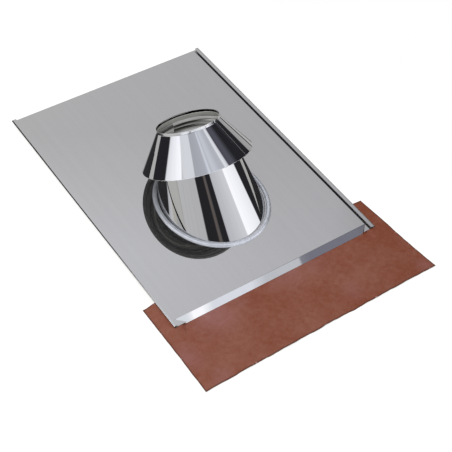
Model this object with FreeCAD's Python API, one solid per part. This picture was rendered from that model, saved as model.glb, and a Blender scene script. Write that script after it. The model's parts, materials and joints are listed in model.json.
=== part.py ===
"""Roof flashing for a round flue, in stainless sheet, with a soft metal apron and a storm collar.

Frame: +Z is square to the base plate, +Y runs up the roof slope, +X across it. The origin is the
middle of the whole part's footprint, on the surface that it lies on. Millimetres and degrees.
While the pieces are made, x = 0 and y = 0 are the plate's own middle; save_all moves them all.
"""
import FreeCAD, Part
import math
import os

Vector = FreeCAD.Vector
upright = Vector(0, 0, 1)

# Sheet thicknesses
plate_sheet = 0.6
cone_sheet = 0.6
collar_sheet = 0.6
ring_sheet = 0.6
apron_sheet = 1.8

# Base plate: one sheet with an open hem along each side and a lip bent down at the front
plate_width = 750.0
plate_length = 1020.0
hem_height = 7.2            # outside height of the open hem above the plate's underside
hem_return = 15.0           # how far the hem's strip reaches back over the plate
hem_corner_radius = 3.0
lip_length = 25.0
lip_angle = 18.0            # below the plate
lip_bend_radius = 6.0
lip_end_gap = 1.0           # slit between the lip's mitred end and the flat tongue beside it
tongue_width = 4.0          # flat sheet left beside each hem where the slit starts

# Flue axis: it leans up the slope, so that it is plumb on a roof of this pitch
roof_pitch = 30.0
axis_from_front = 392.0     # from the plate's front edge to where the axis crosses the plate

# Lower cone: a straight frustum round the flue axis, cut off by the plate
cone_radius_at_plate = 162.5    # outside, measured square to the axis where it crosses the plate
cone_half_angle = 12.5
cone_height = 232.0             # along the axis, from the plate to the cone's top edge
cone_foot_flange = 12.0         # turned out flat on the plate, under the seam ring
hole_margin = 5.0               # the plate's hole is this much smaller all round than the cone's foot
cone_lap_angle = 5.0            # width of the rolled sheet's overlap, about the axis
cone_lap_direction = 90.0       # 90 is up the slope, 0 is towards +X

# Storm collar: it hangs round the flue and rests on the cone's top edge
flue_radius = 101.5
flue_clearance = 0.5
collar_neck_height = 9.0
collar_skirt_height = 115.0
collar_skirt_radius = 180.0     # outside, at the lower rim
collar_bend_radius = 3.0
collar_seat_clearance = 0.2
collar_lap_angle = 4.0
collar_lap_direction = -62.0

# Seam ring: an arched strip that holds the cone's flange down on the plate
ring_width = 16.0
ring_height = 6.5
ring_to_cone = 1.6              # leaves room for the cone's lap and for its overhang at the back

# Apron: a soft sheet under the plate's front, wider than the plate
apron_under_plate = 90.0        # how far it reaches back from the lip's bend
apron_front_left = 229.0        # how far its front edge lies beyond the plate's, at each end
apron_front_right = 221.0
apron_left = 416.0              # from the plate's middle line
apron_right_front = 441.0
apron_right_back = 411.0
apron_corner_radius = 4.0
apron_clearance = 0.2

# How the pieces are made
outline_steps = 72              # points on a smooth curve that runs beside an ellipse
cut_margin = 1.0                # how far a cutting block runs past the faces that it clears
match_within = 0.01             # two lengths this close are the same edge or radius

# Levels and places that follow from the sizes above
lip_slope = math.radians(lip_angle)
lip_drop = lip_length * math.sin(lip_slope)
lip_reach = lip_length * math.cos(lip_slope)
lip_half_width = plate_width / 2 - hem_return - tongue_width
plate_under = apron_sheet + apron_clearance + lip_drop
plate_top = plate_under + plate_sheet
front_edge = -plate_length / 2
lip_bend = front_edge + lip_length
tilt = math.radians(roof_pitch)
cone_slope = math.radians(cone_half_angle)
axis_foot = Vector(0, front_edge + axis_from_front, plate_top)
axis_direction = Vector(0, math.sin(tilt), math.cos(tilt))
neck_inside = flue_radius + flue_clearance
neck_outside = neck_inside + collar_sheet
skirt_slope = math.atan((collar_skirt_radius - neck_outside) / collar_skirt_height)


def on_axis(height):
    """The point on the flue axis this far above the plate."""
    return axis_foot + axis_direction * height


def extruded(points, direction):
    """A straight-sided solid: a closed outline of points, pushed along a direction."""
    return Part.Face(Part.makePolygon(points + points[:1])).extrude(direction)


def extruded_outline(wire, height):
    """A level outline pushed straight up."""
    return Part.Face(wire).extrude(upright * height)


def cone_radius(height, inwards=0.0):
    """The cone's radius at a height along the axis, or that of a parallel face further in."""
    return cone_radius_at_plate - height * math.tan(cone_slope) - inwards / math.cos(cone_slope)


def foot_ellipse(inwards, level):
    """Centre, half width and half length of the ellipse that a level plane cuts from the cone."""
    above = (level - plate_top) / math.cos(tilt)
    radius = cone_radius(above, inwards) / math.cos(tilt)
    slant = math.tan(tilt) * math.tan(cone_slope)
    downhill = radius / (1 - slant)
    uphill = radius / (1 + slant)
    half_length = (downhill + uphill) / 2
    half_width = half_length * math.sqrt(1 - (math.sin(tilt) / math.cos(cone_slope))**2)
    centre = Vector(0, on_axis(above).y + (uphill - downhill) / 2, level)
    return centre, half_width, half_length


def foot_outline(inwards, offset, level):
    """The cone's outline on a level plane, or the smooth closed curve at an offset all round it."""
    centre, half_width, half_length = foot_ellipse(inwards, level)
    if not offset:
        far_end = centre + Vector(0, half_length, 0)
        side = centre + Vector(half_width, 0, 0)
        return Part.Wire(Part.Ellipse(far_end, side, centre).toShape())
    points = []
    for step in range(outline_steps):
        turn = 2 * math.pi * step / outline_steps
        on_ellipse = Vector(half_width * math.cos(turn), half_length * math.sin(turn), 0)
        outwards = Vector(math.cos(turn) / half_width, math.sin(turn) / half_length, 0)
        points.append(centre + on_ellipse + outwards.normalize() * offset)
    curve = Part.BSplineCurve()
    curve.interpolate(points, True)
    return Part.Wire(curve.toShape())


def hem_section(side):
    """The open hem's section on one side: a half-round turn up and a strip back over the plate."""
    outside = hem_height / 2
    inside = outside - plate_sheet
    edge = side * (plate_width / 2 - outside)
    tip = side * (plate_width / 2 - hem_return)
    low = plate_under
    high = plate_under + hem_height
    middle = plate_under + outside
    outer_turn = Part.Arc(
        Vector(edge, 0, low), Vector(edge + side * outside, 0, middle), Vector(edge, 0, high)
    )
    inner_turn = Part.Arc(
        Vector(edge, 0, high - plate_sheet),
        Vector(edge + side * inside, 0, middle),
        Vector(edge, 0, low + plate_sheet),
    )
    return Part.Face(Part.Wire([
        outer_turn.toShape(),
        Part.makeLine(Vector(edge, 0, high), Vector(tip, 0, high)),
        Part.makeLine(Vector(tip, 0, high), Vector(tip, 0, high - plate_sheet)),
        Part.makeLine(Vector(tip, 0, high - plate_sheet), Vector(edge, 0, high - plate_sheet)),
        inner_turn.toShape(),
        Part.makeLine(Vector(edge, 0, low + plate_sheet), Vector(edge, 0, low)),
    ]))


def hem(side):
    """One side's open hem, with the free corners of its strip rounded."""
    turned = hem_section(side).extrude(Vector(0, plate_length, 0))
    turned.translate(Vector(0, front_edge, 0))
    tip = plate_width / 2 - hem_return
    corners = [
        edge for edge in turned.Edges
        if abs(edge.Length - plate_sheet) < match_within
        and abs(abs(edge.CenterOfMass.x) - tip) < match_within
    ]
    return turned.makeFillet(hem_corner_radius, corners)


def lip_bend_start():
    """Where the lip's bend starts, far enough back for its round corner to lie on the bend line."""
    return lip_bend + lip_bend_radius * math.tan(lip_slope / 2)


def lip_section():
    """The lip's section: a round bend, then a straight strip sloping down to the front."""
    centre = Vector(0, lip_bend_start(), plate_top - lip_bend_radius)
    flat = lip_length - lip_bend_radius * math.tan(lip_slope / 2)

    def around(radius, angle):
        return centre + Vector(0, -radius * math.sin(angle), radius * math.cos(angle))

    def tip(radius):
        return around(radius, lip_slope) + Vector(0, -math.cos(lip_slope), -math.sin(lip_slope)) * flat

    def turn(radius):
        return Part.Arc(around(radius, 0), around(radius, lip_slope / 2), around(radius, lip_slope))

    top = lip_bend_radius
    under = lip_bend_radius - plate_sheet
    return Part.Face(Part.Wire([
        turn(top).toShape(),
        Part.makeLine(around(top, lip_slope), tip(top)),
        Part.makeLine(tip(top), tip(under)),
        Part.makeLine(tip(under), around(under, lip_slope)),
        turn(under).toShape(),
        Part.makeLine(around(under, 0), around(top, 0)),
    ]))


def lip_block(end_gap):
    """The lip's mitred plan as a tall block, grown by a gap at its slanted ends."""
    half = lip_half_width + end_gap
    back = lip_bend + lip_bend_radius
    front = front_edge - cut_margin
    front_half = half - (lip_bend - front)
    high = plate_top + cut_margin
    outline = [
        Vector(-half, back, high),
        Vector(half, back, high),
        Vector(half, lip_bend, high),
        Vector(front_half, front, high),
        Vector(-front_half, front, high),
        Vector(-half, lip_bend, high),
    ]
    return extruded(outline, Vector(0, 0, -high - cut_margin))


def make_base_plate():
    """Flat web, two side hems and the front lip in one sheet, with the hole under the cone."""
    web_half = (plate_width - hem_height) / 2
    web = Part.makeBox(
        2 * web_half, plate_length, plate_sheet, Vector(-web_half, front_edge, plate_under)
    )
    behind_bend = Part.makeBox(
        plate_width, plate_length, 2 * plate_top,
        Vector(-plate_width / 2, lip_bend_start(), -cut_margin)
    )
    web = web.cut(lip_block(lip_end_gap).cut(behind_bend))
    lip = lip_section().extrude(Vector(2 * lip_half_width, 0, 0))
    lip.translate(Vector(-lip_half_width, 0, 0))
    sheet = web.fuse([hem(-1), hem(1), lip.common(lip_block(0.0))])
    hole = foot_outline(cone_sheet, -hole_margin, plate_under)
    return sheet.cut(extruded_outline(hole, plate_sheet))


def frustum(inwards, low, high):
    """The cone, or a parallel face further in, as a solid between two heights on the axis."""
    return Part.makeCone(
        cone_radius(low, inwards), cone_radius(high, inwards), high - low, on_axis(low), axis_direction
    )


def sector(direction, angle, reach, low, high):
    """A tall slice of pie about the flue axis, this wide and centred on a direction."""
    slice_ = Part.makeCylinder(reach, high - low, Vector(0, 0, 0), upright, angle)
    slice_.rotate(Vector(0, 0, 0), upright, direction - angle / 2)
    slice_.rotate(Vector(0, 0, 0), Vector(1, 0, 0), -roof_pitch)
    slice_.translate(on_axis(low))
    return slice_


def make_cone():
    """A frustum rolled from one sheet, lapped up the back, its foot turned out on the plate."""
    low = -cone_radius_at_plate
    reach = 2 * cone_radius_at_plate
    second_layer = frustum(-cone_sheet, low, cone_height).common(
        sector(cone_lap_direction, cone_lap_angle, reach, low, cone_height)
    )
    flange = extruded_outline(foot_outline(0.0, cone_foot_flange, plate_top), cone_sheet)
    under_plate = Part.makeBox(
        2 * reach, 2 * reach, reach, Vector(-reach, axis_foot.y - reach, plate_top - reach)
    )
    solid = frustum(0.0, low, cone_height).fuse([second_layer, flange])
    return solid.cut(frustum(cone_sheet, low, cone_height)).cut(under_plate)


def make_seam_ring():
    """An arched strip swept round the cone's foot: one edge on the flange, one on the plate."""
    centre, _, half_length = foot_ellipse(0.0, plate_top)

    def place(across, up):
        return centre + Vector(0, half_length + across, up)

    near = ring_to_cone
    far = ring_to_cone + ring_width
    middle = (near + far) / 2
    outer = Part.Arc(place(near, cone_sheet), place(middle, ring_height), place(far, 0))
    inner = Part.Arc(
        place(far - ring_sheet, 0),
        place(middle, ring_height - ring_sheet),
        place(near + ring_sheet, cone_sheet),
    )
    section = Part.Wire([
        outer.toShape(),
        Part.makeLine(place(far, 0), place(far - ring_sheet, 0)),
        inner.toShape(),
        Part.makeLine(place(near + ring_sheet, cone_sheet), place(near, cone_sheet)),
    ])
    return foot_outline(0.0, 0.0, plate_top).makePipeShell([section], True, True)


def collar_profile(grow):
    """The collar's section beside an upright axis, its outer faces moved out by a thickness."""
    across = collar_sheet / math.cos(skirt_slope)
    grow_across = grow / math.cos(skirt_slope)
    neck_top = collar_skirt_height + collar_neck_height
    outer_shoulder = collar_skirt_height + (grow_across - grow) / math.tan(skirt_slope)
    points = [
        Vector(collar_skirt_radius + grow_across, 0, 0),
        Vector(neck_outside + grow, 0, outer_shoulder),
        Vector(neck_outside + grow, 0, neck_top),
        Vector(neck_inside, 0, neck_top),
        Vector(neck_inside, 0, inner_shoulder_height()),
        Vector(collar_skirt_radius - across, 0, 0),
    ]
    return Part.Face(Part.makePolygon(points + points[:1]))


def inner_shoulder_height():
    """How high above the rim the skirt's inner face meets the neck's."""
    across = collar_sheet / math.cos(skirt_slope)
    return collar_skirt_height - (across - collar_sheet) / math.tan(skirt_slope)


def with_round_bend(solid, circle_radius, height, bend_radius):
    """The solid with one circular edge, given by its own radius and height, rounded."""
    bend = [
        edge for edge in solid.Edges
        if isinstance(edge.Curve, Part.Circle)
        and abs(edge.Curve.Radius - circle_radius) < match_within
        and abs(edge.Curve.Center.z - height) < match_within
    ]
    return solid.makeFillet(bend_radius, bend)


def collar_bottom():
    """The height of the collar's rim: its skirt sits on the cone's top edge, where it is lapped."""
    skin = (collar_sheet + collar_seat_clearance) / math.cos(skirt_slope)
    seat_radius = cone_radius(cone_height, -cone_sheet)
    return cone_height - (collar_skirt_radius - skin - seat_radius) / math.tan(skirt_slope)


def make_storm_collar():
    """Skirt and neck turned from one profile about the flue axis, with the sheet's lapped end."""
    axis_base = Vector(0, 0, 0)
    body = collar_profile(0.0).revolve(axis_base, upright, 360)
    body = with_round_bend(body, neck_outside, collar_skirt_height, collar_bend_radius)
    body = with_round_bend(
        body, neck_inside, inner_shoulder_height(), collar_bend_radius + collar_sheet
    )
    second_layer = collar_profile(collar_sheet).revolve(axis_base, upright, collar_lap_angle)
    second_layer.rotate(axis_base, upright, collar_lap_direction - collar_lap_angle / 2)
    first_layer = Part.makeCone(collar_skirt_radius, neck_outside, collar_skirt_height).fuse(
        Part.makeCylinder(neck_outside, collar_skirt_height + collar_neck_height)
    )
    collar = body.fuse(second_layer.cut(first_layer))
    collar.rotate(axis_base, Vector(1, 0, 0), -roof_pitch)
    collar.translate(on_axis(collar_bottom()))
    return collar


def make_apron():
    """A sheet that steps down under the lip: below the plate behind, on the roof in front."""
    high = plate_under - apron_clearance
    back = lip_bend + apron_under_plate
    front_left = front_edge - apron_front_left
    front_right = front_edge - apron_front_right
    front = min(front_left, front_right) - cut_margin
    step_end = lip_bend - lip_reach
    reach = 2 * max(apron_left, apron_right_front, apron_right_back)
    section = [
        Vector(-reach / 2 - cut_margin, back, high),
        Vector(-reach / 2 - cut_margin, lip_bend, high),
        Vector(-reach / 2 - cut_margin, step_end, apron_sheet),
        Vector(-reach / 2 - cut_margin, front, apron_sheet),
        Vector(-reach / 2 - cut_margin, front, 0),
        Vector(-reach / 2 - cut_margin, step_end, 0),
        Vector(-reach / 2 - cut_margin, lip_bend, high - apron_sheet),
        Vector(-reach / 2 - cut_margin, back, high - apron_sheet),
    ]
    outline = [
        Vector(-apron_left, back, -cut_margin),
        Vector(apron_right_back, back, -cut_margin),
        Vector(apron_right_front, front_right, -cut_margin),
        Vector(-apron_left, front_left, -cut_margin),
    ]
    block = extruded(outline, Vector(0, 0, plate_top + 2 * cut_margin))
    corners = [edge for edge in block.Edges if edge.BoundBox.ZLength > plate_top]
    return extruded(section, Vector(reach + 2 * cut_margin, 0, 0)).common(
        block.makeFillet(apron_corner_radius, corners)
    )


def save_all(nodes):
    """Move every piece so that the footprint's middle is the origin, and write one file each."""
    box = Part.makeCompound(list(nodes.values())).optimalBoundingBox(False, False)
    to_origin = Vector(-box.Center.x, -box.Center.y, -box.ZMin)
    for name, shape in nodes.items():
        shape.translate(to_origin)
        shape.exportStep("parts/" + name + ".step")


os.makedirs("parts", exist_ok=True)
save_all({
    "base_plate": make_base_plate(),
    "cone": make_cone(),
    "seam_ring": make_seam_ring(),
    "storm_collar": make_storm_collar(),
    "apron": make_apron(),
})
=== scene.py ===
import bpy
import json
import math
import numpy as np
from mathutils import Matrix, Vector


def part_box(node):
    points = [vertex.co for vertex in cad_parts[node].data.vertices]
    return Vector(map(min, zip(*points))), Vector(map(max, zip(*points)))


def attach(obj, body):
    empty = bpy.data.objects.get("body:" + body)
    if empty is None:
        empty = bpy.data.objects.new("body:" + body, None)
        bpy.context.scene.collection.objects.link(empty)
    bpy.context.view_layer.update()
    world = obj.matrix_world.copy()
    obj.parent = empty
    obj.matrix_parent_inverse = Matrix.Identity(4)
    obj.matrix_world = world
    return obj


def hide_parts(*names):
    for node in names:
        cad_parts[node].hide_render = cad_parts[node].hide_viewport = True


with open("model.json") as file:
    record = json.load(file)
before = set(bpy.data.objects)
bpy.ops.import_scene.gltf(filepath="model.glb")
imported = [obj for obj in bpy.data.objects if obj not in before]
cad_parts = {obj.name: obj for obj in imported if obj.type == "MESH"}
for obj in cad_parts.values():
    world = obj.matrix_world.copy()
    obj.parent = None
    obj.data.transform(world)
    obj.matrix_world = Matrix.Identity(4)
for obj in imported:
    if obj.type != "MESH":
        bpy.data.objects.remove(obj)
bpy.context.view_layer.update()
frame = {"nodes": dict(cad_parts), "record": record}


# Base plate: one sheet of bright annealed stainless steel with an open hem folded along each
# side and a lip bent down at the front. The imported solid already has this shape, so it stays
# and takes the sheet's finish.
mm = 0.001
plate_sheet = 0.6 * mm
hem_height = 7.2 * mm

plate_low, plate_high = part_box("base_plate")
middle_x = (plate_low.x + plate_high.x) / 2
half_plate = (plate_high.x - plate_low.x) / 2
plate_top = plate_high.z - hem_height + plate_sheet
plate_underside = plate_top - plate_sheet
front_edge = plate_low.y

# finish of the sheet: sizes and levels of the noises, and where in metres a hem's painted highlight and
# shade change
streak_stretch = 50.0
smudge_scale = 14.0
smudge_levels = (0.35, 0.7)
wave_scale = 6.0
noise_middle = 0.5
hem_front_y, hem_middle_y, hem_back_y = -0.45, 0.0, 0.1
hem_highlight_front, hem_highlight_back, hem_highlight_fade = 3.4 * mm, 1.8 * mm, 0.3 * mm
hem_highlight_colour = (0.86, 0.87, 0.88)
hem_shade_front, hem_shade_back, hem_shade_fade = 4.4 * mm, 6.0 * mm, 0.4 * mm
hem_shade_colour = (0.035, 0.035, 0.035)

# places of the colour sockets on a Mix node
mix_first, mix_second, mix_result = 6, 7, 2


def link(tree, from_socket, to_socket):
    """Joins an output to an input."""
    tree.links.new(from_socket, to_socket)


def new_node(tree, kind, **values):
    """A node with its plain properties set, and its unconnected inputs set by their names."""
    node = tree.nodes.new(kind)
    for key, value in values.items():
        if hasattr(node, key):
            setattr(node, key, value)
        else:
            node.inputs[key.replace("_", " ")].default_value = value
    return node


def between(tree, value, start, end, low=0.0, high=1.0):
    """A value from start to end becomes one from low to high, and is held at both ends."""
    node = new_node(tree, "ShaderNodeMapRange")
    for name, number in (("From Min", start), ("From Max", end), ("To Min", low), ("To Max", high)):
        node.inputs[name].default_value = number
    link(tree, value, node.inputs["Value"])
    return node.outputs["Result"]


def calculate(tree, operation, first, second=0.0):
    """One Math node. Each of its two inputs is a socket or a number."""
    node = new_node(tree, "ShaderNodeMath", operation=operation)
    for place, value in enumerate((first, second)):
        if isinstance(value, (int, float)):
            node.inputs[place].default_value = value
        else:
            link(tree, value, node.inputs[place])
    return node.outputs["Value"]


def mix_colours(tree, share, first, second):
    """A colour between two, each of them a socket or three numbers."""
    node = new_node(tree, "ShaderNodeMix", data_type="RGBA")
    link(tree, share, node.inputs["Factor"])
    for socket, colour in ((node.inputs[mix_first], first), (node.inputs[mix_second], second)):
        if isinstance(colour, tuple):
            socket.default_value = (*colour, 1)
        else:
            link(tree, colour, socket)
    return node.outputs[mix_result]


def sheet_marks_group():
    """The marks that rolling and handling leave on bright sheet, each as a value about 0.5.

    Streaks are a noise drawn out along the second coordinate by the streak stretch. Smudges are
    a fine noise, and waves a broad one, for how far the sheet strays from flat.
    """
    group = bpy.data.node_groups.new("sheet marks", "ShaderNodeTree")
    for name, kind in (("Vector", "NodeSocketVector"), ("Streak Scale", "NodeSocketFloat")):
        group.interface.new_socket(name, in_out="INPUT", socket_type=kind)
    for name in ("Streaks", "Smudges", "Waves"):
        group.interface.new_socket(name, in_out="OUTPUT", socket_type="NodeSocketFloat")
    entry = new_node(group, "NodeGroupInput")
    leave = new_node(group, "NodeGroupOutput")
    streaks = new_node(group, "ShaderNodeTexNoise", Detail=3.0, Roughness=0.6)
    smudges = new_node(group, "ShaderNodeTexNoise", Scale=smudge_scale, Detail=5.0, Roughness=0.6)
    waves = new_node(group, "ShaderNodeTexNoise", Scale=wave_scale, Detail=1.0)
    stretch = new_node(group, "ShaderNodeMapping")
    stretch.inputs["Scale"].default_value = (1.0, 1 / streak_stretch, 1.0)
    link(group, entry.outputs["Vector"], stretch.inputs["Vector"])
    link(group, stretch.outputs["Vector"], streaks.inputs["Vector"])
    link(group, entry.outputs["Streak Scale"], streaks.inputs["Scale"])
    for noise, name in ((streaks, "Streaks"), (smudges, "Smudges"), (waves, "Waves")):
        if noise is not streaks:
            link(group, entry.outputs["Vector"], noise.inputs["Vector"])
        link(group, noise.outputs["Fac"], leave.inputs[name])
    return group


sheet_marks = sheet_marks_group()


def steel(
    name, dark, light, smooth, rough, coordinates, streak_scale, streak_depth, wave_depth,
    around=False, streak_spread=0.2, metallic=1.0,
):
    """Stainless steel: streaks change its colour, smudges its roughness, and waves bend it.

    The streaks run along the second coordinate, or around the piece, along the first one. Their
    colour goes from dark to light over the streak spread on both sides of the noise's middle,
    and the roughness goes from smooth to rough between the smudge levels. The depths are those
    of the bumps that the streaks and the waves make.
    """
    material = bpy.data.materials.new(name)
    material.use_nodes = True
    tree = material.node_tree
    shader = tree.nodes["Principled BSDF"]
    shader.inputs["Metallic"].default_value = metallic
    place = new_node(tree, "ShaderNodeTexCoord")
    marks = new_node(tree, "ShaderNodeGroup")
    marks.node_tree = sheet_marks
    marks.inputs["Streak Scale"].default_value = streak_scale
    facing = new_node(tree, "ShaderNodeMapping")
    facing.inputs["Rotation"].default_value[2] = math.pi / 2 if around else 0.0
    link(tree, place.outputs[coordinates], facing.inputs["Vector"])
    link(tree, facing.outputs["Vector"], marks.inputs["Vector"])
    darkest, lightest = noise_middle - streak_spread, noise_middle + streak_spread
    streaks = between(tree, marks.outputs["Streaks"], darkest, lightest)
    colour = mix_colours(tree, streaks, dark, light)
    link(tree, colour, shader.inputs["Base Color"])
    dulled = between(tree, marks.outputs["Smudges"], *smudge_levels, smooth, rough)
    link(tree, dulled, shader.inputs["Roughness"])
    bent = new_node(tree, "ShaderNodeBump", Strength=1.0, Distance=wave_depth)
    link(tree, marks.outputs["Waves"], bent.inputs["Height"])
    drawn = new_node(tree, "ShaderNodeBump", Strength=1.0, Distance=streak_depth)
    link(tree, marks.outputs["Streaks"], drawn.inputs["Height"])
    link(tree, bent.outputs["Normal"], drawn.inputs["Normal"])
    link(tree, drawn.outputs["Normal"], shader.inputs["Normal"])
    return material


def mark_hem_rounds(material):
    """Painted shade low on each hem's round edge, and a painted highlight line over it.

    Both lie within the highlight's width of the plate's side edge. Towards the front of the hem this
    width grows and the shade's top comes down.
    """
    tree = material.node_tree
    shader = tree.nodes["Principled BSDF"]
    steel_colour = shader.inputs["Base Color"].links[0].from_socket
    place = new_node(tree, "ShaderNodeTexCoord")
    parts = new_node(tree, "ShaderNodeSeparateXYZ")
    link(tree, place.outputs["Object"], parts.inputs["Vector"])
    from_middle = calculate(tree, "SUBTRACT", parts.outputs["X"], middle_x)
    from_middle = calculate(tree, "ABSOLUTE", from_middle)
    hem_highlight_width = between(
        tree, parts.outputs["Y"], hem_front_y, hem_middle_y, hem_highlight_front, hem_highlight_back
    )
    inwards = calculate(tree, "SUBTRACT", half_plate, from_middle)
    past_line = calculate(tree, "SUBTRACT", inwards, hem_highlight_width)
    outside = between(tree, past_line, hem_highlight_fade, -hem_highlight_fade)
    shade_top = between(
        tree, parts.outputs["Y"], hem_front_y, hem_back_y, hem_shade_front, hem_shade_back
    )
    height = calculate(tree, "SUBTRACT", parts.outputs["Z"], plate_underside)
    over_shade = calculate(tree, "SUBTRACT", height, shade_top)
    low = between(tree, over_shade, hem_shade_fade, -hem_shade_fade)
    # painted shade low on the round, and a painted highlight line above it
    colour = mix_colours(tree, low, hem_highlight_colour, hem_shade_colour)
    link(tree, mix_colours(tree, outside, steel_colour, colour), shader.inputs["Base Color"])


plate_steel = steel(
    "bright plate", dark=(0.525, 0.525, 0.523), light=(0.54, 0.54, 0.538), smooth=0.006,
    rough=0.02, coordinates="Object", streak_scale=60.0, streak_depth=0.002 * mm,
    wave_depth=0.1 * mm, metallic=0.965,
)
# painted shade and a painted highlight on each hem's round edge
mark_hem_rounds(plate_steel)
base_plate = frame["nodes"]["base_plate"]
base_plate.data.materials.clear()
base_plate.data.materials.append(plate_steel)


# Cone: a straight frustum rolled from one sheet of polished stainless steel, lapped up the
# back, with its foot turned out flat on the plate. It leans with the flue.
cone_sheet = 0.6 * mm
cone_radius = 162.5 * mm
cone_half_angle = math.radians(12.5)
cone_height = 232.0 * mm
cone_flange = 12.0 * mm
cone_lap = math.radians(5.0)
lap_rise = 0.1                  # share of a lap's width over which the upper sheet rises
back_turn = math.pi / 2         # the turn about the axis that points up the slope

collar_mount = next(m for m in frame["record"]["mounts"] if m["name"] == "flue_collar")
axis = np.array(collar_mount["axis"]) / np.linalg.norm(collar_mount["axis"])
mount_point = np.array(collar_mount["pos_m"])
axis_foot = mount_point - axis * (mount_point[2] - plate_top) / axis[2]
across = np.array([1.0, 0.0, 0.0])
upslope = np.cross(axis, across)
tilt = math.acos(axis[2])
steps_round = 720
turns = np.arange(steps_round) * 2 * math.pi / steps_round
sharp_angle = math.radians(35)


def closed_surface(name, points, materials, inside_from=None):
    """A mesh from a grid of points, with rows round the piece and columns along its profile.

    Both directions close on themselves: quads join each row to the next and the last row to the
    first, and the same for columns. The UV map is in metres: the way round where the piece is
    widest, and the way along its profile. Columns from inside_from on take the second material.
    """
    rows, columns = points.shape[:2]
    row = np.arange(rows)[:, None]
    column = np.arange(columns)[None, :]
    next_row = (row + 1) % rows
    next_column = (column + 1) % columns
    corners = [
        row * columns + column, next_row * columns + column,
        next_row * columns + next_column, row * columns + next_column,
    ]
    faces = np.stack([corner.ravel() for corner in corners], axis=1)
    mesh = bpy.data.meshes.new(name)
    mesh.from_pydata(points.reshape(-1, 3), [], faces)
    for material in materials:
        mesh.materials.append(material)

    around = np.linalg.norm(np.roll(points, -1, axis=0) - points, axis=2).sum(axis=0).max()
    steps = np.linalg.norm(np.roll(points, -1, axis=1) - points, axis=2)[0]
    way_along = np.concatenate([[0], np.cumsum(steps)])
    u = np.stack([row, row + 1, row + 1, row], axis=-1) / rows * around
    near, far = way_along[column], way_along[column + 1]
    v = np.stack([near, near, far, far], axis=-1)
    uv = np.stack(np.broadcast_arrays(u, v), axis=-1)
    mesh.uv_layers.new(name="metres").data.foreach_set("uv", uv.ravel())
    if inside_from is not None:
        inside = np.tile(np.arange(columns) >= inside_from, rows)
        mesh.polygons.foreach_set("material_index", inside.astype(np.int32))

    mesh.shade_smooth()
    mesh.set_sharp_from_angle(angle=sharp_angle)
    piece = bpy.data.objects.new(name, mesh)
    bpy.context.scene.collection.objects.link(piece)
    return piece


def round_the_axis(turn, radius, height):
    """Points at a turn, a radius and a height about the flue axis, as whole arrays."""
    turn, radius, height = np.broadcast_arrays(turn, radius, height)
    return (
        axis_foot + height[..., None] * axis
        + (radius * np.cos(turn))[..., None] * across
        + (radius * np.sin(turn))[..., None] * upslope
    )


def turn_from(turn, direction):
    """How far each turn is from a direction, the shorter way round."""
    return abs((turn - direction + math.pi) % (2 * math.pi) - math.pi)


# shares of the wall's height: even steps, and a narrow one beside each edge to keep it crisp;
# the flange adds a point under it and one on top
steps_up = np.concatenate([[0, 0.004], np.linspace(0.03, 0.97, 24), [0.996, 1]])
cone_steps = len(steps_up)
flange_steps = 2


def cone_points(turn):
    """The cone's closed profile at each turn about the axis.

    The wall's radius falls from the plate's level with the height times the tangent of the half
    angle. Its foot is where that line meets a level plane. From there the flange goes straight
    out, square to the foot's own ellipse. The outside is one sheet higher along the lap.
    """
    taper = math.tan(cone_half_angle)
    in_lap = (cone_lap / 2 - turn_from(turn, back_turn)) / (lap_rise * cone_lap)
    lap = np.clip(in_lap, 0, 1) * cone_sheet

    def wall_foot(level, inwards):
        start = cone_radius - inwards / math.cos(cone_half_angle)
        rise = math.sin(tilt) * np.sin(turn)
        height = (level - plate_top + start * rise) / (math.cos(tilt) + taper * rise)
        return height, start - height * taper

    outer_foot, _ = wall_foot(plate_top + cone_sheet, 0.0)
    outer_height = outer_foot[:, None] + (cone_height - outer_foot)[:, None] * steps_up
    outer_start = cone_radius + lap[:, None] / math.cos(cone_half_angle)
    outer = round_the_axis(turn[:, None], outer_start - outer_height * taper, outer_height)
    inner_foot, _ = wall_foot(plate_top, cone_sheet)
    inner_height = inner_foot[:, None] + (cone_height - inner_foot)[:, None] * steps_up[::-1]
    inner_start = cone_radius - cone_sheet / math.cos(cone_half_angle)
    inner = round_the_axis(turn[:, None], inner_start - inner_height * taper, inner_height)

    foot = outer[:, 0]
    centre = (foot.max(axis=0) + foot.min(axis=0)) / 2
    half = (foot.max(axis=0) - foot.min(axis=0)) / 2
    outwards = (foot - centre) / np.array([half[0]**2, half[1]**2, 1.0])
    outwards[:, 2] = 0
    outwards /= np.linalg.norm(outwards, axis=1)[:, None]
    flange_top = foot + outwards * cone_flange
    flange_under = flange_top - np.array([0, 0, cone_sheet])
    return np.concatenate([flange_under[:, None], flange_top[:, None], outer, inner], axis=1)


cone_steel = steel(
    "polished cone", dark=(0.60, 0.60, 0.592), light=(0.64, 0.636, 0.63), smooth=0.015,
    rough=0.05, coordinates="UV", streak_scale=130.0, streak_depth=0.012 * mm, wave_depth=0.1 * mm,
)
# the cone's inner side: its bands around it, from near black to white with little metal look, are painted
# highlights and painted shade
cone_inside = steel(
    "cone's inner side", dark=(0.05, 0.05, 0.04), light=(1.00, 1.00, 0.98), smooth=0.06,
    rough=0.20, coordinates="UV", streak_scale=60.0, streak_depth=0.04 * mm, wave_depth=1.6 * mm,
    around=True, streak_spread=0.07, metallic=0.1,
)
cone = closed_surface(
    "rolled_cone", cone_points(back_turn + turns), [cone_steel, cone_inside],
    inside_from=flange_steps + cone_steps,
)
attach(cone, "root")
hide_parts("cone")


# Seam ring: a strip of satin stainless steel, pressed to a shallow arch and closed round the
# cone's foot. It covers the flange and holds it down on the plate.
ring_sheet = 0.6 * mm
ring_width = 16.0 * mm
ring_height = 6.5 * mm
ring_to_cone = 1.6 * mm
ring_steps_over, ring_steps_under = 33, 17


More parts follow.
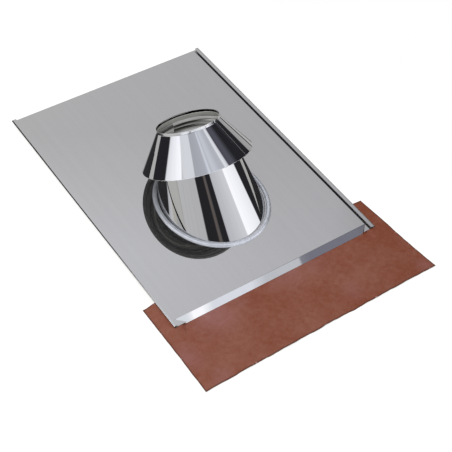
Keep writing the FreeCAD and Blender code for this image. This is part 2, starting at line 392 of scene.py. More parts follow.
def arch(near, far, low_near, low_far, top, steps):
    """A flat-topped arch between two feet: distance out and height up.

    A straight line joins the feet, and a crown brings it to the top halfway. The crown falls
    from there with the fourth power of the way to either foot, so it is nearly flat and its
    sides are steep. The steps crowd together towards the feet.
    """
    share = (1 - np.cos(np.linspace(0, math.pi, steps))) / 2
    crown = 1 - (2 * share - 1)**4
    out = near + (far - near) * share
    up = low_near + (low_far - low_near) * share + crown * (top - (low_near + low_far) / 2)
    return out, up


def ring_points(turn):
    """The strip's closed section carried round the ellipse in which the cone meets the plate.

    The ellipse's long half is half the sum of the cone's slanted reach up and down the slope,
    and its middle is shifted by half their difference. Its short half is the long one times the
    root of 1 less the squared ratio of the tilt's sine to the half angle's cosine. Each section
    point lies out from the ellipse along its normal and up along Z.
    """
    slant = math.tan(tilt) * math.tan(cone_half_angle)
    reach = cone_radius / math.cos(tilt)
    half_length = reach * (1 / (1 - slant) + 1 / (1 + slant)) / 2
    shift = reach * (1 / (1 + slant) - 1 / (1 - slant)) / 2
    half_width = half_length * math.sqrt(1 - (math.sin(tilt) / math.cos(cone_half_angle))**2)
    x = half_width * np.cos(turn)
    y = half_length * np.sin(turn)
    foot = np.stack([axis_foot[0] + x, axis_foot[1] + shift + y, np.full_like(x, plate_top)], axis=1)
    outwards = np.stack([x / half_width**2, y / half_length**2, np.zeros_like(x)], axis=1)
    outwards /= np.linalg.norm(outwards, axis=1)[:, None]
    out_top, up_top = arch(
        ring_to_cone, ring_to_cone + ring_width, cone_sheet, 0.0, ring_height, ring_steps_over
    )
    out_under, up_under = arch(
        ring_to_cone + ring_sheet, ring_to_cone + ring_width - ring_sheet,
        cone_sheet, 0.0, ring_height - ring_sheet, ring_steps_under,
    )
    out = np.concatenate([out_top[::-1], out_under])
    up = np.concatenate([up_top[::-1], up_under])
    return foot[:, None] + outwards[:, None] * out[:, None] + np.array([0, 0, 1.0]) * up[:, None]


ring_steel = steel(
    "satin ring", dark=(0.66, 0.68, 0.73), light=(0.82, 0.84, 0.90), smooth=0.34, rough=0.46,
    coordinates="UV", streak_scale=40.0, streak_depth=0.03 * mm, wave_depth=0.3 * mm, metallic=0.7,
)
seam_ring = closed_surface("seam_ring_strip", ring_points(back_turn + turns), [ring_steel])
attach(seam_ring, "root")
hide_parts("seam_ring")


# Storm collar: a skirt and a neck of polished stainless steel, rolled from one sheet and lapped
# where its ends meet. It hangs round the flue and rests on the cone's top edge.
collar_sheet = 0.6 * mm
neck_inside = collar_mount["dims"]["r_mm"] * mm
neck_height = 9.0 * mm
skirt_height = 115.0 * mm
skirt_radius = 180.0 * mm
collar_bend = 3.0 * mm
collar_seat_gap = 0.2 * mm
collar_lap = math.radians(4.0)
collar_lap_direction = math.radians(-62.0)

# points on each bend, and shares of the skirt's and of the neck's length: a narrow step beside
# each edge keeps it crisp
bend_steps = 13
skirt_shares = np.concatenate([[0, 0.004], np.linspace(0.05, 0.95, 12), [0.992]])
neck_shares = np.array([0.04, 0.5, 0.96, 1.0])


def rounded(before, corner, after, radius, steps):
    """The corner between two straight lines, rounded: points on the arc that touches both.

    The arc starts and ends at the radius over the tangent of the half angle from the corner. Its
    points are the centre plus two radii at right angles, times the cosine and the sine of the
    sweep.
    """
    before, corner, after = (np.array(point) for point in (before, corner, after))
    back = (before - corner) / np.linalg.norm(before - corner)
    on = (after - corner) / np.linalg.norm(after - corner)
    half = math.acos(np.clip(back @ on, -1, 1)) / 2
    middle = (back + on) / np.linalg.norm(back + on)
    centre = corner + middle * radius / math.sin(half)
    start = corner + back * radius / math.tan(half) - centre
    sweep = np.linspace(0, math.pi - 2 * half, steps)
    side = on - (on @ start) / radius**2 * start
    side = side / np.linalg.norm(side) * radius
    return centre + np.outer(np.cos(sweep), start) + np.outer(np.sin(sweep), side)


def along(start, end, shares):
    """Points on a straight line at these shares of its length."""
    return np.array(start) + np.outer(shares, np.array(end) - np.array(start))


def collar_profile():
    """The collar's closed section as radius and height above its rim: outside up, inside down.

    The skirt's slope comes from its height and its two radii. Its inner line is the outer one
    moved in by the sheet over the slope's cosine, and meets the neck's a little lower.
    """
    slope = math.atan((skirt_radius - neck_inside - collar_sheet) / skirt_height)
    thick = collar_sheet / math.cos(slope)
    top = skirt_height + neck_height
    lower = skirt_height - (thick - collar_sheet) / math.tan(slope)
    rim_out, rim_in = (skirt_radius, 0.0), (skirt_radius - thick, 0.0)
    shoulder_out, shoulder_in = (neck_inside + collar_sheet, skirt_height), (neck_inside, lower)
    top_out, top_in = (neck_inside + collar_sheet, top), (neck_inside, top)
    bend_out = rounded(rim_out, shoulder_out, top_out, collar_bend, bend_steps)
    bend_in = rounded(top_in, shoulder_in, rim_in, collar_bend + collar_sheet, bend_steps)
    outside = [
        along(rim_out, bend_out[0], skirt_shares), bend_out, along(bend_out[-1], top_out, neck_shares)
    ]
    inside = [
        along(top_in, bend_in[0], 1 - neck_shares[::-1]), bend_in,
        along(bend_in[-1], rim_in, 1 - skirt_shares[::-1]),
    ]
    return np.concatenate(outside + inside)


neck_steps = len(neck_shares)
outside_steps = len(skirt_shares) + bend_steps + neck_steps
collar_steps = collar_profile()
outside_length = np.linalg.norm(np.diff(collar_steps[:outside_steps], axis=0), axis=1).sum()

# the skirt's inner side lies the seat gap off the cone's top edge, at its lap, and that sets the
# height of the rim
collar_slope = math.atan((skirt_radius - neck_inside - collar_sheet) / skirt_height)
cone_top_radius = cone_radius - cone_height * math.tan(cone_half_angle)
seat_radius = cone_top_radius + cone_sheet / math.cos(cone_half_angle)
seat_skin = (collar_sheet + collar_seat_gap) / math.cos(collar_slope)
rim_height = cone_height - (skirt_radius - seat_skin - seat_radius) / math.tan(collar_slope)


def collar_points(turn):
    """The section turned about the flue axis, its outside raised by one sheet along the lap."""
    away = turn_from(turn, collar_lap_direction)
    lap = np.clip((collar_lap / 2 - away) / (lap_rise * collar_lap), 0, 1) * collar_sheet
    radius = np.repeat(collar_steps[None, :, 0], len(turn), axis=0)
    radius[:, :outside_steps] += lap[:, None]
    return round_the_axis(turn[:, None], radius, rim_height + collar_steps[None, :, 1])


# the collar's inner side: its near-black streaks are painted shade, and its white streaks around it are
# painted highlights
collar_inside = steel(
    "collar's dull inner side", dark=(0.02, 0.02, 0.02), light=(1.00, 1.00, 1.00), smooth=0.12,
    rough=0.24, coordinates="UV", streak_scale=32.0, streak_depth=0.12 * mm, wave_depth=1.0 * mm,
    around=True, streak_spread=0.07,
)
collar_steel = steel(
    "polished collar", dark=(0.605, 0.608, 0.61), light=(0.635, 0.637, 0.638), smooth=0.015,
    rough=0.045, coordinates="UV", streak_scale=130.0, streak_depth=0.006 * mm,
    wave_depth=0.08 * mm,
)

# how far below the neck the inner side has painted light, a pale colour, and from how far down it has
# none
neck_light_reach, neck_light_end, neck_light_share = 30 * mm, 60 * mm, 0.85
neck_light_colour = (0.90, 0.90, 0.84)
shaded_metallic, neck_light_metallic = 0.6, 0.05

# painted highlights on the rim, on the neck's outside and on its edge, as widths and the ends of their
# fades
rim_line, rim_line_end = 0.9 * mm, 1.6 * mm
edge_line, edge_line_end = 1.8 * mm, 2.4 * mm
neck_highlight_share, highlight_roughness = 0.6, 0.35
collar_highlight_colour = (0.85, 0.85, 0.85)

# the painted highlight on the neck's inner edge: its depth all round, and a deeper one to both sides of a
# direction; painted shade lies below it
inner_highlight_direction = math.radians(90)
inner_highlight_middle = skirt_radius * (inner_highlight_direction - collar_lap_direction + collar_lap / 2)
inner_highlight_reach, inner_highlight_end = 70 * mm, 110 * mm
inner_highlight_depth, deep_inner_highlight_depth, inner_highlight_fade = 1.0 * mm, 3.6 * mm, 0.6 * mm
neck_inner_shade_colour = (0.03, 0.03, 0.03)

# the shade along the lap's far side
lap_width = skirt_radius * collar_lap
lap_shade, lap_shade_end, lap_shade_share = 0.8 * mm, 1.3 * mm, 0.6
lap_shade_colour = (0.25, 0.25, 0.26)


def painted_light_by_the_neck(material):
    """The inner side has painted light, a pale colour, down to 30 mm below the neck, and none from 60 mm
    on.

    The share of the pale colour runs evenly between the two, and Metallic falls as it grows.
    """
    tree = material.node_tree
    shader = tree.nodes["Principled BSDF"]
    steel_colour = shader.inputs["Base Color"].links[0].from_socket
    place = new_node(tree, "ShaderNodeTexCoord")
    parts = new_node(tree, "ShaderNodeSeparateXYZ")
    link(tree, place.outputs["UV"], parts.inputs["Vector"])
    below_neck = outside_length + neck_height
    neck_light = between(
        tree, parts.outputs["Y"], below_neck + neck_light_end, below_neck + neck_light_reach, 0.0, neck_light_share
    )
    # painted light: the pale colour near the neck
    colour = mix_colours(tree, neck_light, steel_colour, neck_light_colour)
    link(tree, colour, shader.inputs["Base Color"])
    metallic = between(tree, neck_light, 0.0, 1.0, shaded_metallic, neck_light_metallic)
    link(tree, metallic, shader.inputs["Metallic"])


def mark_collar_edges(material):
    """Painted highlights along the rim and the neck's edge, and a thin painted shade beside the lap.

    The neck's outside also has a painted highlight, growing from its foot to half its height. Inside,
    the edge has a painted highlight, 1 mm deep all round and 3.6 mm deep around its middle, and
    painted shade darkens the neck below that. Along the highlights the steel is rougher too.
    """
    tree = material.node_tree
    shader = tree.nodes["Principled BSDF"]
    steel_colour = shader.inputs["Base Color"].links[0].from_socket
    place = new_node(tree, "ShaderNodeTexCoord")
    parts = new_node(tree, "ShaderNodeSeparateXYZ")
    link(tree, place.outputs["UV"], parts.inputs["Vector"])
    way_round, way_up = parts.outputs["X"], parts.outputs["Y"]
    rim = between(tree, way_up, rim_line_end, rim_line)
    neck_foot = outside_length - neck_height
    neck = between(tree, way_up, neck_foot, neck_foot + neck_height / 2, 0.0, neck_highlight_share)
    edge = between(tree, way_up, outside_length - edge_line_end, outside_length - edge_line)
    neck = calculate(tree, "MAXIMUM", neck, edge)
    from_middle = calculate(tree, "SUBTRACT", way_round, inner_highlight_middle)
    from_middle = calculate(tree, "ABSOLUTE", from_middle)
    inner_highlight_down = between(
        tree, from_middle, inner_highlight_end, inner_highlight_reach, inner_highlight_depth, deep_inner_highlight_depth
    )
    below_edge = calculate(tree, "SUBTRACT", way_up, outside_length)
    below_edge = calculate(tree, "SUBTRACT", below_edge, inner_highlight_down)
    below_edge = between(tree, below_edge, 0.0, inner_highlight_fade)
    pale_marks = calculate(tree, "MAXIMUM", rim, neck)
    pale_marks = calculate(tree, "MULTIPLY", pale_marks, calculate(tree, "SUBTRACT", 1.0, below_edge))
    beside_lap = calculate(tree, "ABSOLUTE", calculate(tree, "SUBTRACT", way_round, lap_width))
    beside_lap = between(tree, beside_lap, lap_shade_end, lap_shade, 0.0, lap_shade_share)
    # painted shade in the neck, painted highlights on the lines, and painted shade beside the lap
    colour = mix_colours(tree, below_edge, steel_colour, neck_inner_shade_colour)
    colour = mix_colours(tree, pale_marks, colour, collar_highlight_colour)
    colour = mix_colours(tree, beside_lap, colour, lap_shade_colour)
    link(tree, colour, shader.inputs["Base Color"])
    dulled = shader.inputs["Roughness"].links[0].from_socket
    highlight_dulling = calculate(tree, "MULTIPLY", pale_marks, highlight_roughness)
    link(tree, calculate(tree, "ADD", dulled, highlight_dulling), shader.inputs["Roughness"])


# painted highlights and painted shade on the collar, and painted light inside by its neck
mark_collar_edges(collar_steel)
painted_light_by_the_neck(collar_inside)
collar = closed_surface(
    "collar_skirt_and_neck", collar_points(collar_lap_direction - collar_lap / 2 + turns),
    [collar_steel, collar_inside], inside_from=outside_steps + neck_steps,
)
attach(collar, "root")
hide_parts("storm_collar")


# Apron: a soft metal sheet with a brick-red satin coat, folded under the plate's lip and laid
# out in front of it. It is dressed by hand, so it is a little wavy and its sides hang down.
apron_sheet = 1.8 * mm
edge_band = 14 * mm
lip_length = 25.0 * mm
lip_angle = math.radians(18.0)
lip_half_width = 356.0 * mm
apron_low, apron_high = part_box("apron")
apron_left = apron_low.x
apron_right_back = middle_x + 411.0 * mm
apron_right_front = apron_high.x
apron_back_left = apron_high.y - 6.0 * mm
apron_back_right = apron_high.y
apron_front_left = apron_low.y
apron_front_right = front_edge - 221.0 * mm
lip_bend = front_edge + lip_length
lip_foot = lip_bend - lip_length * math.cos(lip_angle)

# the back edge reaches its full depth over this share of the width, from the left
back_edge_share = 0.2
# how far the edges are pulled in, the front by broad waves and short ones, and how close these are
front_pull, front_ripple, side_pull = 1.7 * mm, 0.7 * mm, 1.1 * mm
broad_waves, short_waves = 1.9, 4.7
# beyond the lip's ends, from near to far, the step moves forwards, until its top and its foot lie
# this far before the plate's front edge
beside_lip_near, beside_lip_far = 1 * mm, 26 * mm
corner_step_top, corner_step_foot = 4 * mm, 34 * mm
# the wings start to fall this far inside the plate's side edges and are down this far outside;
# the right one falls only by a share
wing_start, left_wing_end, right_wing_end, right_wing_fall = 4 * mm, 34 * mm, 40 * mm, 0.35
# dents, in millimetres, which fade out just before the lip
dent_level, dent_waves, dent_ripples = 1.6, 1.5, 0.5
dents_fade_start, dents_fade_end = 40 * mm, 2 * mm


def smooth_step(value, start, end):
    """0 before start, 1 after end, and a cubic between them."""
    share = np.clip((value - start) / (end - start), 0, 1)
    return share * share * (3 - 2 * share)


def slow_waves(x, y):
    """A sum of sine waves in a few directions, from about -1 to 1, with a swing every 0.1 to 0.4 m."""
    return (
        0.45 * np.sin(17 * x + 6 * y + 0.4) * np.cos(21 * y - 5 * x + 0.7)
        + 0.35 * np.sin(43 * x - 19 * y + 1.3) + 0.2 * np.sin(71 * y + 31 * x)
    )


def apron_points(share_x, share_y):
    """The sheet's top face over a grid: share 0..1 from left to right and from back to front.

    The plan is a four-sided outline, its front and sides pulled in by waves that die away at the
    corners and, with a high power of the share, towards the middle. The height is the sheet on
    the ground, plus the step up under the plate, plus dents. Between the lip's ends the step
    follows the lip; beside them it reaches out to the plate's corners. Beyond the left hem it
    falls to the ground, and beyond the right one by its share alone.
    """
    from_left = smooth_step(share_x, 0, back_edge_share)
    back = apron_back_left + (apron_back_right - apron_back_left) * from_left
    front = apron_front_left + (apron_front_right - apron_front_left) * share_x
    y = back + (front - back) * share_y
    right = apron_right_back + (apron_right_front - apron_right_back) * share_y
    x = apron_left + (right - apron_left) * share_x
    along_front = np.sqrt(np.sin(math.pi * share_x).clip(0))
    along_side = np.sqrt(np.sin(math.pi * share_y).clip(0))
    front_waves = 1 + slow_waves(broad_waves * x, 0 * x)
    front_ripples = 1 + slow_waves(short_waves * x + 0.3, 0 * x)
    pull_front = front_pull * along_front * front_waves * share_y**8
    pull_front += front_ripple * along_front * front_ripples * share_y**16
    side_waves = 1 + slow_waves(0 * y, broad_waves * y + 0.5)
    pull_side = side_pull * along_side * side_waves * np.abs(2 * share_x - 1)**8
    x = x - np.sign(share_x - 0.5) * pull_side
    y = y + pull_front

    from_middle = np.abs(x - middle_x)
    lip_end = lip_half_width - np.clip(lip_bend - y, 0, lip_length)
    beside_lip = smooth_step(from_middle, lip_end + beside_lip_near, lip_end + beside_lip_far)
    step_top = lip_bend + (front_edge - corner_step_top - lip_bend) * beside_lip
    step_foot = lip_foot + (front_edge - corner_step_foot - lip_foot) * beside_lip
    under_plate = np.clip((y - step_foot) / (step_top - step_foot), 0, 1)
    wing_edge = half_plate - wing_start
    left_wing = 1 - smooth_step(middle_x - x, wing_edge, half_plate + left_wing_end)
    right_fall = smooth_step(x - middle_x, wing_edge, half_plate + right_wing_end)
    right_wing = 1 - right_wing_fall * right_fall
    step = under_plate * left_wing * right_wing * (apron_high.z - apron_sheet)
    open_part = 1 - smooth_step(y, lip_foot - dents_fade_start, lip_foot - dents_fade_end)
    dents = dent_level + dent_waves * slow_waves(x, y) + dent_ripples * slow_waves(3.1 * y, 2.7 * x)
    return x, y, apron_sheet + step + (dents * mm).clip(0) * open_part


def two_sided_sheet(name, x, y, top, thickness, edge_band):
    """A closed sheet: the top grid, the same grid lowered by the thickness, and its four edges.

    Its attribute edge falls from 1 at the border of the grid to 0 one edge band further in.
    """
    rows, columns = x.shape
    upper = np.stack([x, y, top], axis=-1)
    lower = np.stack([x, y, np.maximum(top - thickness, 0)], axis=-1)
    points = np.concatenate([upper.reshape(-1, 3), lower.reshape(-1, 3)])
    index = np.arange(rows * columns).reshape(rows, columns)
    quad = np.stack([index[:-1, :-1], index[1:, :-1], index[1:, 1:], index[:-1, 1:]], axis=-1)
    quad = quad.reshape(-1, 4)
    border = np.concatenate([index[0, :-1], index[:-1, -1], index[-1, :0:-1], index[:0:-1, 0]])
    after = np.roll(border, -1)
    below = rows * columns
    walls = np.stack([border, border + below, after + below, after], axis=1)
    mesh = bpy.data.meshes.new(name)
    mesh.from_pydata(points, [], np.concatenate([quad[:, ::-1], quad + below, walls]))
    inwards = np.minimum.reduce([x - x[:1], x[-1:] - x, y[:, :1] - y, y - y[:, -1:]])
    edge = np.tile(np.clip(1 - inwards / edge_band, 0, 1).ravel(), 2)
    mesh.attributes.new("edge", "FLOAT", "POINT").data.foreach_set("value", edge)
    mesh.shade_smooth()
    mesh.set_sharp_from_angle(angle=sheet_sharp_angle)
    piece = bpy.data.objects.new(name, mesh)
    bpy.context.scene.collection.objects.link(piece)
    return piece


sheet_sharp_angle = math.radians(50)
steps_across, steps_back_to_front = 341, 141
share_x, share_y = np.meshgrid(
    np.linspace(0, 1, steps_across), np.linspace(0, 1, steps_back_to_front), indexing="ij"
)
apron = two_sided_sheet("red_apron", *apron_points(share_x, share_y), apron_sheet, edge_band)

# the coat's colours: deep and pale brick, pale bloom with painted highlights, painted shade at the edge,
# and worn flecks
deep_brick, pale_brick = (0.186, 0.047, 0.021), (0.225, 0.080, 0.050)
bloom_and_sheen_colour, edge_shade_colour = (0.262, 0.108, 0.102), (0.085, 0.020, 0.010)
fleck_colour = (0.38, 0.24, 0.21)

# levels of the noises between which an effect grows from nothing to full
brick_levels, mottle_levels, bloom_and_sheen_levels = (0.36, 0.66), (0.3, 0.7), (0.60, 0.95)
fleck_levels, scratch_levels, gloss_levels = (0.52, 0.66), (0.60, 0.70), (0.3, 0.7)
# how the brick's level shifts: with the mottle, and evenly from one X to another
mottle_shift = (-0.14, 0.14)
rightward_places, rightward_shift = (0.05, 0.40), (0.06, -0.12)
crease_share, bloom_and_sheen_floor, spot_core = 0.6, 0.35, 0.2
# the painted shade at the edge and the flecks, by how near the edge they are, and how strong they get
edge_shade_levels, edge_shade_share = (0.66, 0.86), 0.85
worn_levels, scratch_share = (0.45, 0.75), 0.45
rough_and_smooth = (0.46, 0.30)
crease_stretch, crease_turn = (0.45, 1.6, 1.0), math.radians(-35)

# where the coat has pale bloom and painted highlights: x and y of the place, how wide it is, and how
# strong
bloom_and_sheen_places = [
    (-0.27, -0.41, 0.11, 0.60), (-0.16, -0.39, 0.09, 0.35), (0.00, -0.39, 0.10, 0.40),
    (0.12, -0.40, 0.08, 0.30), (-0.41, -0.50, 0.07, 0.60), (-0.36, -0.61, 0.05, 0.40),
    (0.15, -0.56, 0.05, 0.30), (0.40, -0.60, 0.04, 0.45),
]


def painted(name):
    """A satin coat: brick red in deep and pale patches, with pale bloom and painted highlights in
    places, and worn at the edges.

    The patches come from a broad noise, mottled by a fine one, and are deeper towards the right.
    A place of bloom and painted highlight fades out from its middle, broken up by the broad noise
    and by one drawn out into creases, which also scratches it. Painted shade darkens the edge,
    with worn flecks beside it.
    """
    material = bpy.data.materials.new(name)
    material.use_nodes = True
    tree = material.node_tree
    shader = tree.nodes["Principled BSDF"]
    shader.inputs["Specular IOR Level"].default_value = 0.3
    place = new_node(tree, "ShaderNodeTexCoord")
    parts = new_node(tree, "ShaderNodeSeparateXYZ")
    link(tree, place.outputs["Object"], parts.inputs["Vector"])
    broad = new_node(tree, "ShaderNodeTexNoise", Scale=5.0, Detail=4.0, Roughness=0.6)
    fine = new_node(tree, "ShaderNodeTexNoise", Scale=70.0, Detail=6.0, Roughness=0.7)
    creases = new_node(tree, "ShaderNodeTexNoise", Scale=30.0, Detail=4.0, Roughness=0.65, Distortion=0.8)
    drawn_out = new_node(tree, "ShaderNodeMapping")
    drawn_out.inputs["Rotation"].default_value[2] = crease_turn
    drawn_out.inputs["Scale"].default_value = crease_stretch
    for noise in (broad, fine):
        link(tree, place.outputs["Object"], noise.inputs["Vector"])
    link(tree, place.outputs["Object"], drawn_out.inputs["Vector"])
    link(tree, drawn_out.outputs["Vector"], creases.inputs["Vector"])

    ramp = new_node(tree, "ShaderNodeValToRGB")
    for element, level, colour in zip(
        ramp.color_ramp.elements, brick_levels, (deep_brick, pale_brick)
    ):
        element.position = level
        element.color = (*colour, 1)
    rightwards = between(tree, parts.outputs["X"], *rightward_places, *rightward_shift)
    mottled = between(tree, fine.outputs["Fac"], *mottle_levels, *mottle_shift)
    mottled = calculate(tree, "ADD", mottled, rightwards)
    link(tree, calculate(tree, "ADD", broad.outputs["Fac"], mottled), ramp.inputs["Fac"])
    bloom_and_sheen = calculate(tree, "MULTIPLY", creases.outputs["Fac"], crease_share)
    bloom_and_sheen = calculate(tree, "ADD", broad.outputs["Fac"], bloom_and_sheen)
    bloom_and_sheen = between(tree, bloom_and_sheen, *bloom_and_sheen_levels)
    bloom_and_sheen_spots = 0.0
    for x, y, wide, strength in bloom_and_sheen_places:
        away = new_node(tree, "ShaderNodeVectorMath", operation="DISTANCE")
        link(tree, place.outputs["Object"], away.inputs[0])
        away.inputs[1].default_value = (x, y, 0)
        spot = between(tree, away.outputs["Value"], wide, spot_core * wide, 0.0, strength)
        bloom_and_sheen_spots = calculate(tree, "MAXIMUM", spot, bloom_and_sheen_spots)
    bloom_and_sheen = calculate(tree, "MULTIPLY", calculate(tree, "ADD", bloom_and_sheen, bloom_and_sheen_floor), bloom_and_sheen_spots)
    # pale bloom with painted highlights
    colour = mix_colours(tree, bloom_and_sheen, ramp.outputs["Color"], bloom_and_sheen_colour)
    edge = new_node(tree, "ShaderNodeAttribute", attribute_name="edge")
    # painted shade along the sheet's edge
    rim = between(tree, edge.outputs["Fac"], *edge_shade_levels, 0.0, edge_shade_share)
    colour = mix_colours(tree, rim, colour, edge_shade_colour)
    flecks = between(tree, fine.outputs["Fac"], *fleck_levels)
    pale_marks = calculate(tree, "MULTIPLY", edge.outputs["Fac"], flecks)
    pale_marks = between(tree, pale_marks, *worn_levels)
    scratched = between(tree, creases.outputs["Fac"], *scratch_levels)
    scratched = calculate(tree, "MULTIPLY", scratched, bloom_and_sheen_spots)
    pale_marks = calculate(tree, "MAXIMUM", pale_marks, calculate(tree, "MULTIPLY", scratched, scratch_share))
    colour = mix_colours(tree, pale_marks, colour, fleck_colour)
    link(tree, colour, shader.inputs["Base Color"])
    gloss = between(tree, creases.outputs["Fac"], *gloss_levels, *rough_and_smooth)
    link(tree, gloss, shader.inputs["Roughness"])
    bent = new_node(tree, "ShaderNodeBump", Strength=0.8, Distance=3 * mm)
    link(tree, creases.outputs["Fac"], bent.inputs["Height"])
    grain = new_node(tree, "ShaderNodeBump", Strength=0.35, Distance=0.6 * mm)
    link(tree, fine.outputs["Fac"], grain.inputs["Height"])
    link(tree, bent.outputs["Normal"], grain.inputs["Normal"])
    link(tree, grain.outputs["Normal"], shader.inputs["Normal"])
    return material


apron.data.materials.append(painted("brick red coat"))
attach(apron, "root")
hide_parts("apron")


# Floor: a sheet of white paper that the part lies on. It ends within a metre of the part on the
# right and behind, and runs on for metres to the left and the front. It glows to be white where
# it is seen, and a little of that shows in the metal.
paper_left, paper_right = -6.0, 0.72
paper_front, paper_back = -6.0, 1.3
paper_colour = (0.42, 0.42, 0.41)
paper_tint = (1, 1, 0.98)
glow_in_view, glow_in_metal = 0.64, 0.12
paper_mesh = bpy.data.meshes.new("floor")
paper_mesh.from_pydata(
    [(paper_left, paper_front, 0), (paper_right, paper_front, 0), (paper_right, paper_back, 0),
     (paper_left, paper_back, 0)], [], [(0, 1, 2, 3)]
)
floor = bpy.data.objects.new("floor", paper_mesh)
bpy.context.scene.collection.objects.link(floor)
paper = bpy.data.materials.new("white paper")
paper.use_nodes = True
paper_shader = paper.node_tree.nodes["Principled BSDF"]
paper_shader.inputs["Base Color"].default_value = (*paper_colour, 1)
paper_shader.inputs["Roughness"].default_value = 1.0
paper_shader.inputs["Specular IOR Level"].default_value = 0.0
paper_shader.inputs["Emission Color"].default_value = (*paper_tint, 1)
paper_tree = paper.node_tree
ray = new_node(paper_tree, "ShaderNodeLightPath").outputs
in_metal = calculate(paper_tree, "MAXIMUM", ray["Is Glossy Ray"], ray["Is Transmission Ray"])
in_metal = calculate(paper_tree, "MULTIPLY", in_metal, glow_in_metal)
in_view = calculate(paper_tree, "MULTIPLY", ray["Is Camera Ray"], glow_in_view)
paper_glow = calculate(paper_tree, "ADD", in_view, in_metal)
link(paper_tree, paper_glow, paper_shader.inputs["Emission Strength"])
paper_mesh.materials.append(paper)


# Light: a plain level from all round, and the studio that the bright steel mirrors: white walls,
# a white ceiling and soft boxes, with dark gaps between them. Only glossy rays see the studio,
# and the view itself is plain white.
world = bpy.data.worlds.new("studio")
bpy.context.scene.world = world
world.use_nodes = True
studio = world.node_tree
studio.nodes.clear()


def panel_group():
    """One panel of the studio, laid over what is behind it.

    A direction is on the panel where its turn is within half the panel's width of the middle,
    the shorter way round, and its height is between bottom and top. Each edge fades over the
    soft width. The colour runs evenly from the panel's start to its end.
    """
    group = bpy.data.node_groups.new("studio panel", "ShaderNodeTree")
    for name in ("Behind", "Start", "End"):
        group.interface.new_socket(name, in_out="INPUT", socket_type="NodeSocketColor")
    for name in ("Turn", "Height", "Middle", "Half Width", "Bottom", "Top", "Soft"):
        group.interface.new_socket(name, in_out="INPUT", socket_type="NodeSocketFloat")
    group.interface.new_socket("Seen", in_out="OUTPUT", socket_type="NodeSocketColor")
    entry = new_node(group, "NodeGroupInput").outputs
    leave = new_node(group, "NodeGroupOutput")

    def fading(inside):
        share = calculate(group, "DIVIDE", inside, entry["Soft"])
        return between(group, share, -0.5, 0.5)

    wrap = new_node(group, "ShaderNodeMath", operation="WRAP")
    link(group, calculate(group, "SUBTRACT", entry["Turn"], entry["Middle"]), wrap.inputs[0])
    wrap.inputs[1].default_value = half_turn
    wrap.inputs[2].default_value = -half_turn
    away = wrap.outputs[0]
    within = calculate(group, "SUBTRACT", entry["Half Width"], calculate(group, "ABSOLUTE", away))
    above = calculate(group, "SUBTRACT", entry["Height"], entry["Bottom"])
    below = calculate(group, "SUBTRACT", entry["Top"], entry["Height"])
    on_panel = calculate(group, "MULTIPLY", fading(within), fading(above))
    on_panel = calculate(group, "MULTIPLY", on_panel, fading(below))
    across_share = between(group, calculate(group, "DIVIDE", away, entry["Half Width"]), -1.0, 1.0)
    colour = mix_colours(group, across_share, entry["Start"], entry["End"])
    link(group, mix_colours(group, on_panel, entry["Behind"], colour), leave.inputs["Seen"])
    return group


half_turn = 180.0
plain_level = 0.8
plain_tint = (0.98, 0.99, 1.0)
dark = (0.027, 0.027, 0.032)
wall = (0.72, 0.73, 0.75)
ceiling = (0.86, 0.88, 0.94)
box_white = (1.56, 1.57, 1.66)

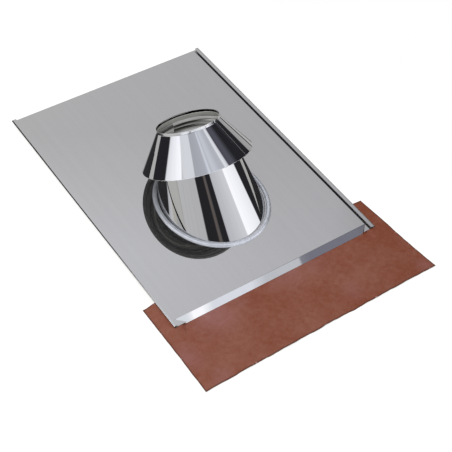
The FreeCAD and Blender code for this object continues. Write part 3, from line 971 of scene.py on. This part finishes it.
# what, start and end of its turn, bottom and top of its height, soft edge, colours at both ends;
# in degrees, and a colour above 1 is a lit surface, since the steel gives back about six tenths
panels = [
    ("ceiling all over", -180, 180, 60, 95, 2, ceiling, ceiling),
    ("ceiling above the far wall", 80, 150, 50, 95, 2, ceiling, ceiling),
    ("wall at the left", 164, 218, -8, 58, 2, wall, (0.67, 0.67, 0.70)),
    ("window's sill", 146, 165, -8, 20, 3, (1.26, 1.22, 1.15), (0.92, 0.89, 0.85)),
    ("window", 145.5, 166, 18, 50, 2, (1.12, 1.14, 1.21), box_white),
    ("wall over the window", 155, 187, 46, 70, 2, (1.00, 1.02, 1.08), (1.02, 1.04, 1.12)),
    ("ceiling, left", 187, 235, 56, 95, 2, (0.58, 0.59, 0.66), (0.64, 0.66, 0.74)),
    ("lamp in the ceiling, left half", 234, 253, 56, 95, 2, (0.64, 0.66, 0.74), (1.00, 1.04, 1.16)),
    ("lamp in the ceiling, right half", 253, 264, 56, 95, 2, (1.00, 1.04, 1.16), (0.72, 0.76, 0.84)),
    ("ceiling in front, left half", 264, 288, 56, 95, 2, (0.70, 0.74, 0.82), (0.88, 0.91, 1.01)),
    ("ceiling in front, right half", 288, 315, 56, 95, 2, (0.88, 0.91, 1.01), (0.70, 0.73, 0.82)),
    ("ceiling, front right", 315, 331, 56, 95, 2, (0.68, 0.70, 0.78), (0.70, 0.72, 0.79)),
    ("edge of the ceiling lamp", 331, 340, 56, 75, 1.5, (1.12, 1.14, 1.22), (1.10, 1.12, 1.20)),
    ("front wall, low", 214, 300, -2, 14, 3, (1.12, 1.17, 1.26), (1.22, 1.24, 1.31)),
    ("front wall, half way up", 217.5, 262, 13, 21, 3, (0.50, 0.52, 0.56), (0.62, 0.64, 0.70)),
    ("front wall", 261.5, 304, 14, 50, 1.5, (0.72, 0.73, 0.79), (0.95, 0.97, 1.05)),
    ("floor before the soft box", 304, 330, -4, 9, 2, (0.40, 0.40, 0.43), (0.34, 0.34, 0.38)),
    ("soft box", 304, 341, 4, 50, 2, box_white, (1.28, 1.30, 1.38)),
    ("brown door in the dark gap", 240.5, 247, 5, 45, 3, (0.18, 0.15, 0.14), (0.14, 0.13, 0.13)),
    ("low wall, right", 8, 34, -12, 4.6, 1, (0.46, 0.46, 0.45), (0.54, 0.54, 0.55)),
    ("dim wall, right", -20, 38, 44, 61, 9, (0.13, 0.13, 0.17), (0.06, 0.06, 0.07)),
    ("dim wall's top, right", -20, 38, 59.5, 64, 2.5, (0.29, 0.29, 0.37), (0.27, 0.27, 0.34)),
    ("ceiling's edge, right", -20, 41, 63.3, 67, 0.12, (0.90, 0.92, 1.00), (0.90, 0.92, 1.00)),
    ("ceiling, right", -20, 41, 65.6, 95, 0.8, (1.26, 1.30, 1.42), (1.26, 1.30, 1.42)),
    ("bar of light in the ceiling, right", -20, 41, 68.4, 69.4, 0.5, (1.8, 1.8, 1.9), (1.8, 1.8, 1.9)),
    ("ceiling beyond the bar, right", -20, 41, 69.4, 95, 0.5, (1.24, 1.30, 1.40), (1.24, 1.30, 1.40)),
    ("back wall", 41, 83, 33, 64, 8, (0.68, 0.675, 0.71), (0.825, 0.825, 0.83)),
    ("back wall, top", 40, 82, 46.5, 64, 6, (0.72, 0.72, 0.76), (1.10, 1.11, 1.16)),
]

direction = new_node(studio, "ShaderNodeTexCoord")
parts = new_node(studio, "ShaderNodeSeparateXYZ")
link(studio, direction.outputs["Generated"], parts.inputs["Vector"])
turn = calculate(studio, "ARCTAN2", parts.outputs["Y"], parts.outputs["X"])
turn = calculate(studio, "DEGREES", turn)
height = calculate(studio, "DEGREES", calculate(studio, "ARCSINE", parts.outputs["Z"]))
dark_room = new_node(studio, "ShaderNodeRGB")
dark_room.outputs[0].default_value = (*dark, 1)
seen = dark_room.outputs[0]
one_panel = panel_group()
for what, start, end, bottom, top, soft, start_colour, end_colour in panels:
    panel = new_node(studio, "ShaderNodeGroup", label=what)
    panel.node_tree = one_panel
    link(studio, seen, panel.inputs["Behind"])
    link(studio, turn, panel.inputs["Turn"])
    link(studio, height, panel.inputs["Height"])
    panel.inputs["Start"].default_value = (*start_colour, 1)
    panel.inputs["End"].default_value = (*end_colour, 1)
    panel.inputs["Middle"].default_value = (start + end) / 2
    panel.inputs["Half Width"].default_value = (end - start) / 2
    panel.inputs["Bottom"].default_value = bottom
    panel.inputs["Top"].default_value = top
    panel.inputs["Soft"].default_value = soft
    seen = panel.outputs["Seen"]

plain_light = new_node(
    studio, "ShaderNodeBackground", Color=(*plain_tint, 1), Strength=plain_level
)
mirrored_studio = new_node(studio, "ShaderNodeBackground", Strength=1.0)
white_view = new_node(studio, "ShaderNodeBackground", Color=(1, 1, 1, 1), Strength=1.0)
link(studio, seen, mirrored_studio.inputs["Color"])
rays = new_node(studio, "ShaderNodeLightPath")
plain_or_mirrored = new_node(studio, "ShaderNodeMixShader")
link(studio, rays.outputs["Is Glossy Ray"], plain_or_mirrored.inputs["Fac"])
link(studio, plain_light.outputs[0], plain_or_mirrored.inputs[1])
link(studio, mirrored_studio.outputs[0], plain_or_mirrored.inputs[2])
all_light = new_node(studio, "ShaderNodeMixShader")
link(studio, rays.outputs["Is Camera Ray"], all_light.inputs["Fac"])
link(studio, plain_or_mirrored.outputs[0], all_light.inputs[1])
link(studio, white_view.outputs[0], all_light.inputs[2])
studio_out = new_node(studio, "ShaderNodeOutputWorld")
link(studio, all_light.outputs[0], studio_out.inputs["Surface"])

lamp_data = bpy.data.lights.new("soft lamp", "AREA")
lamp_data.shape = "DISK"
lamp_data.size = 2.5
lamp_data.energy = 60.0
lamp = bpy.data.objects.new("soft lamp", lamp_data)
lamp.location = (-1.5, 0.6, 3.2)
lamp.rotation_euler = (math.radians(-10), math.radians(-25), 0)
lamp.visible_glossy = False
bpy.context.scene.collection.objects.link(lamp)


# Camera: a long lens, looking down on the part from its front left. From straight down it is
# leaned forward, rolled a little and turned, in this order.
camera_place = (-1.4907, -2.0588, 2.6844)
camera_lean, camera_roll, camera_turn = 41.871, -2.769, -34.156

camera_data = bpy.data.cameras.new("camera")
camera_data.sensor_width = 36.0
camera_data.lens = 91.175
camera = bpy.data.objects.new("camera", camera_data)
camera.location = camera_place
camera.rotation_euler = [math.radians(angle) for angle in (camera_lean, camera_roll, camera_turn)]
bpy.context.scene.collection.objects.link(camera)
bpy.context.scene.camera = camera
bpy.context.scene.view_settings.view_transform = "Standard"
